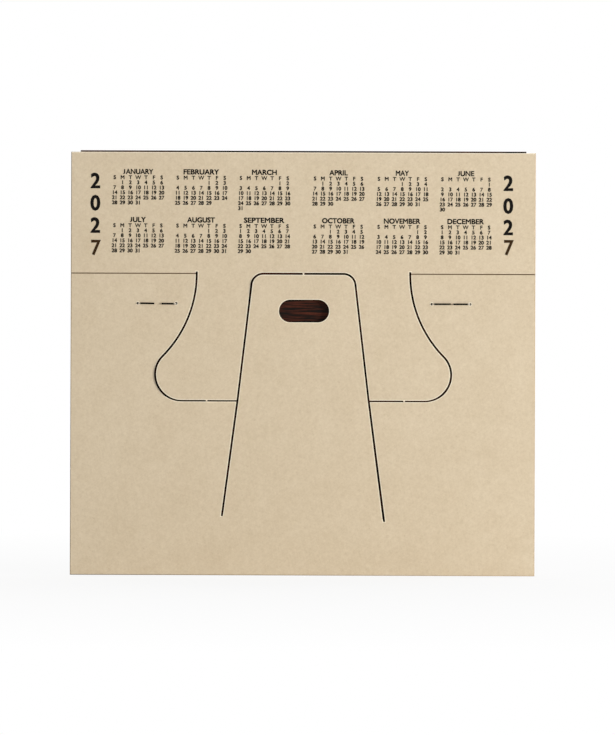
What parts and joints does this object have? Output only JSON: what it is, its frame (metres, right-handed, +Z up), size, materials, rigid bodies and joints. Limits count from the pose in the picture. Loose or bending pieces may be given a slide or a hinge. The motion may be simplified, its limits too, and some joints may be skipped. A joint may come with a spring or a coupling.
{
  "type": "desk calendar",
  "caption": "Upright desk calendar: die-cut chipboard back with a folding header, wing feet and an easel leg, a dark front card and a stapled pad of month sheets.",
  "frame": {"origin": "under the middle of the calendar, level with the bottom edge of its board", "axes": "+X to the right when looking at the back, +Y towards the reader of the month sheets, +Z up"},
  "size_m": [0.1396, 0.004, 0.1277],
  "materials": {
    "chipboard": "matte",
    "front_card": "matte",
    "sheet_paper": "matte",
    "staple_wire": "satin"
  },
  "bodies": {
    "panel": {"back_panel": "chipboard", "front_card_field": "front_card", "sheet_stubs": "sheet_paper", "staple_left": "staple_wire", "staple_right": "staple_wire"},
    "header": {"header_panel": "chipboard", "front_card_top": "front_card"},
    "leg": {"easel_leg": "chipboard"},
    "leaf_01": {"month_leaf_01": "sheet_paper"},
    "leaf_02": {"month_leaf_02": "sheet_paper"},
    "leaf_03": {"month_leaf_03": "sheet_paper"},
    "leaf_04": {"month_leaf_04": "sheet_paper"},
    "leaf_05": {"month_leaf_05": "sheet_paper"},
    "leaf_06": {"month_leaf_06": "sheet_paper"},
    "leaf_07": {"month_leaf_07": "sheet_paper"},
    "leaf_08": {"month_leaf_08": "sheet_paper"},
    "leaf_09": {"month_leaf_09": "sheet_paper"},
    "leaf_10": {"month_leaf_10": "sheet_paper"},
    "leaf_11": {"month_leaf_11": "sheet_paper"},
    "leaf_12": {"month_leaf_12": "sheet_paper"}
  },
  "joints": [
    {"name": "header_fold", "type": "hinge", "parent": "panel", "child": "header", "pos_m": [0, -0.00035, 0.0907], "axis": [-1, 0, 0], "range_deg": [0, 65]},
    {"name": "leg_swing", "type": "hinge", "parent": "panel", "child": "leg", "pos_m": [0, -0.00145, 0.0178], "axis": [1, 0, 0], "range_deg": [0, 90]},
    {"name": "turn_01", "type": "hinge", "parent": "panel", "child": "leaf_01", "pos_m": [0, 0.00145, 0.07895], "axis": [1, 0, 0], "range_deg": [0, 110]},
    {"name": "turn_02", "type": "hinge", "parent": "panel", "child": "leaf_02", "pos_m": [0, 0.0013, 0.0787], "axis": [1, 0, 0], "range_deg": [0, 101.59]},
    {"name": "turn_03", "type": "hinge", "parent": "panel", "child": "leaf_03", "pos_m": [0, 0.00115, 0.07845], "axis": [1, 0, 0], "range_deg": [0, 92.68]},
    {"name": "turn_04", "type": "hinge", "parent": "panel", "child": "leaf_04", "pos_m": [0, 0.001, 0.0782], "axis": [1, 0, 0], "range_deg": [0, 83.77]},
    {"name": "turn_05", "type": "hinge", "parent": "panel", "child": "leaf_05", "pos_m": [0, 0.00085, 0.07795], "axis": [1, 0, 0], "range_deg": [0, 74.86]},
    {"name": "turn_06", "type": "hinge", "parent": "panel", "child": "leaf_06", "pos_m": [0, 0.0007, 0.0777], "axis": [1, 0, 0], "range_deg": [0, 65.95]},
    {"name": "turn_07", "type": "hinge", "parent": "panel", "child": "leaf_07", "pos_m": [0, 0.00055, 0.07745], "axis": [1, 0, 0], "range_deg": [0, 57.04]},
    {"name": "turn_08", "type": "hinge", "parent": "panel", "child": "leaf_08", "pos_m": [0, 0.0004, 0.0772], "axis": [1, 0, 0], "range_deg": [0, 48.13]},
    {"name": "turn_09", "type": "hinge", "parent": "panel", "child": "leaf_09", "pos_m": [0, 0.00025, 0.07695], "axis": [1, 0, 0], "range_deg": [0, 39.22]},
    {"name": "turn_10", "type": "hinge", "parent": "panel", "child": "leaf_10", "pos_m": [0, 0.0001, 0.0767], "axis": [1, 0, 0], "range_deg": [0, 30.31]},
    {"name": "turn_11", "type": "hinge", "parent": "panel", "child": "leaf_11", "pos_m": [0, -0.00005, 0.07645], "axis": [1, 0, 0], "range_deg": [0, 21.4]},
    {"name": "turn_12", "type": "hinge", "parent": "panel", "child": "leaf_12", "pos_m": [0, -0.0002, 0.0762], "axis": [1, 0, 0], "range_deg": [0, 12.49]}
  ],
  "couplings": [
    {"joint": "turn_02", "follows": "turn_01", "ratio": 0.919},
    {"joint": "turn_03", "follows": "turn_01", "ratio": 0.838},
    {"joint": "turn_04", "follows": "turn_01", "ratio": 0.757},
    {"joint": "turn_05", "follows": "turn_01", "ratio": 0.676},
    {"joint": "turn_06", "follows": "turn_01", "ratio": 0.595},
    {"joint": "turn_07", "follows": "turn_01", "ratio": 0.514},
    {"joint": "turn_08", "follows": "turn_01", "ratio": 0.433},
    {"joint": "turn_09", "follows": "turn_01", "ratio": 0.352},
    {"joint": "turn_10", "follows": "turn_01", "ratio": 0.271},
    {"joint": "turn_11", "follows": "turn_01", "ratio": 0.19},
    {"joint": "turn_12", "follows": "turn_01", "ratio": 0.109}
  ]
}
